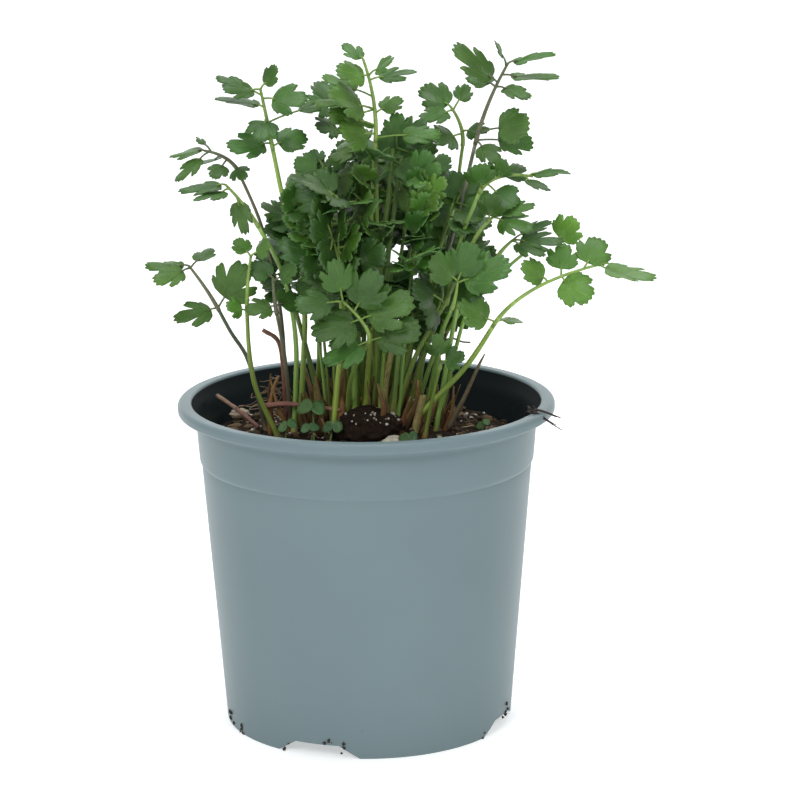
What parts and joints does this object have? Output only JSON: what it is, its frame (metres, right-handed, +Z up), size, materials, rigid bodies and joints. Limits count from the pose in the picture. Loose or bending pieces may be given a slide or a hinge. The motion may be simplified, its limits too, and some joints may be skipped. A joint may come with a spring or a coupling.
{
  "type": "potted coriander",
  "caption": "Young coriander plant with lobed green leaves on slender pale stalks, growing from dark peat soil in a blue-grey plastic nursery pot.",
  "frame": {"origin": "on the pot's axis, at the level the pot stands on, in the middle of the flat disc of its base", "axes": "+Z up along the pot's axis and the plant; +Y towards the back of the plant; +X to its right, the side of its one long low leaf"},
  "size_m": [0.1699, 0.13, 0.236],
  "materials": {
    "pot_plastic": "satin",
    "peat_soil": "matte",
    "pale_stone": "matte",
    "dry_husk": "matte",
    "green_stalk": "satin",
    "purple_stalk": "satin",
    "leaf_green": "satin"
  },
  "bodies": {
    "root": {"pot": "pot_plastic", "soil": "peat_soil", "peat_clod": "peat_soil", "white_stone": "pale_stone", "seed_husk": "dry_husk", "straw": "dry_husk", "stalk_top_left": "green_stalk", "leaf_top_left": "leaf_green", "stalk_left_arching": "green_stalk", "leaf_left_arching": "leaf_green", "stalk_left_high": "purple_stalk", "leaf_left_high": "leaf_green", "stalk_left_low": "purple_stalk", "leaf_left_low": "leaf_green", "stalk_left_inner": "green_stalk", "leaf_left_inner": "leaf_green", "stalk_inner_purple": "purple_stalk", "leaf_inner_purple": "leaf_green", "stalk_top_centre": "green_stalk", "leaf_top_centre": "leaf_green", "stalk_top_centre_back": "purple_stalk", "leaf_top_centre_back": "leaf_green", "stalk_upper_right": "green_stalk", "leaf_upper_right": "leaf_green", "stalk_top_right": "purple_stalk", "leaf_top_right": "leaf_green", "stalk_right_middle": "green_stalk", "leaf_right_middle": "leaf_green", "stalk_right_front": "green_stalk", "leaf_right_front": "leaf_green", "stalk_right_low_dark": "green_stalk", "leaf_right_low_dark": "leaf_green", "stalk_right_outer": "green_stalk", "leaf_right_outer": "leaf_green", "stalk_right_round": "green_stalk", "leaf_right_round": "leaf_green", "stalk_right_long": "green_stalk", "leaf_right_long": "leaf_green", "stalk_right_small": "green_stalk", "leaf_right_small": "leaf_green", "stalk_front_large": "green_stalk", "leaf_front_large": "leaf_green", "stalk_bush_01": "green_stalk", "leaf_bush_01": "leaf_green", "stalk_bush_02": "green_stalk", "leaf_bush_02": "leaf_green", "stalk_bush_03": "green_stalk", "leaf_bush_03": "leaf_green", "stalk_bush_04": "green_stalk", "leaf_bush_04": "leaf_green", "stalk_bush_05": "green_stalk", "leaf_bush_05": "leaf_green", "stalk_bush_06": "green_stalk", "leaf_bush_06": "leaf_green", "stalk_bush_07": "green_stalk", "leaf_bush_07": "leaf_green", "stalk_bush_08": "green_stalk", "leaf_bush_08": "leaf_green", "stalk_bush_09": "green_stalk", "leaf_bush_09": "leaf_green"}
  },
  "joints": []
}
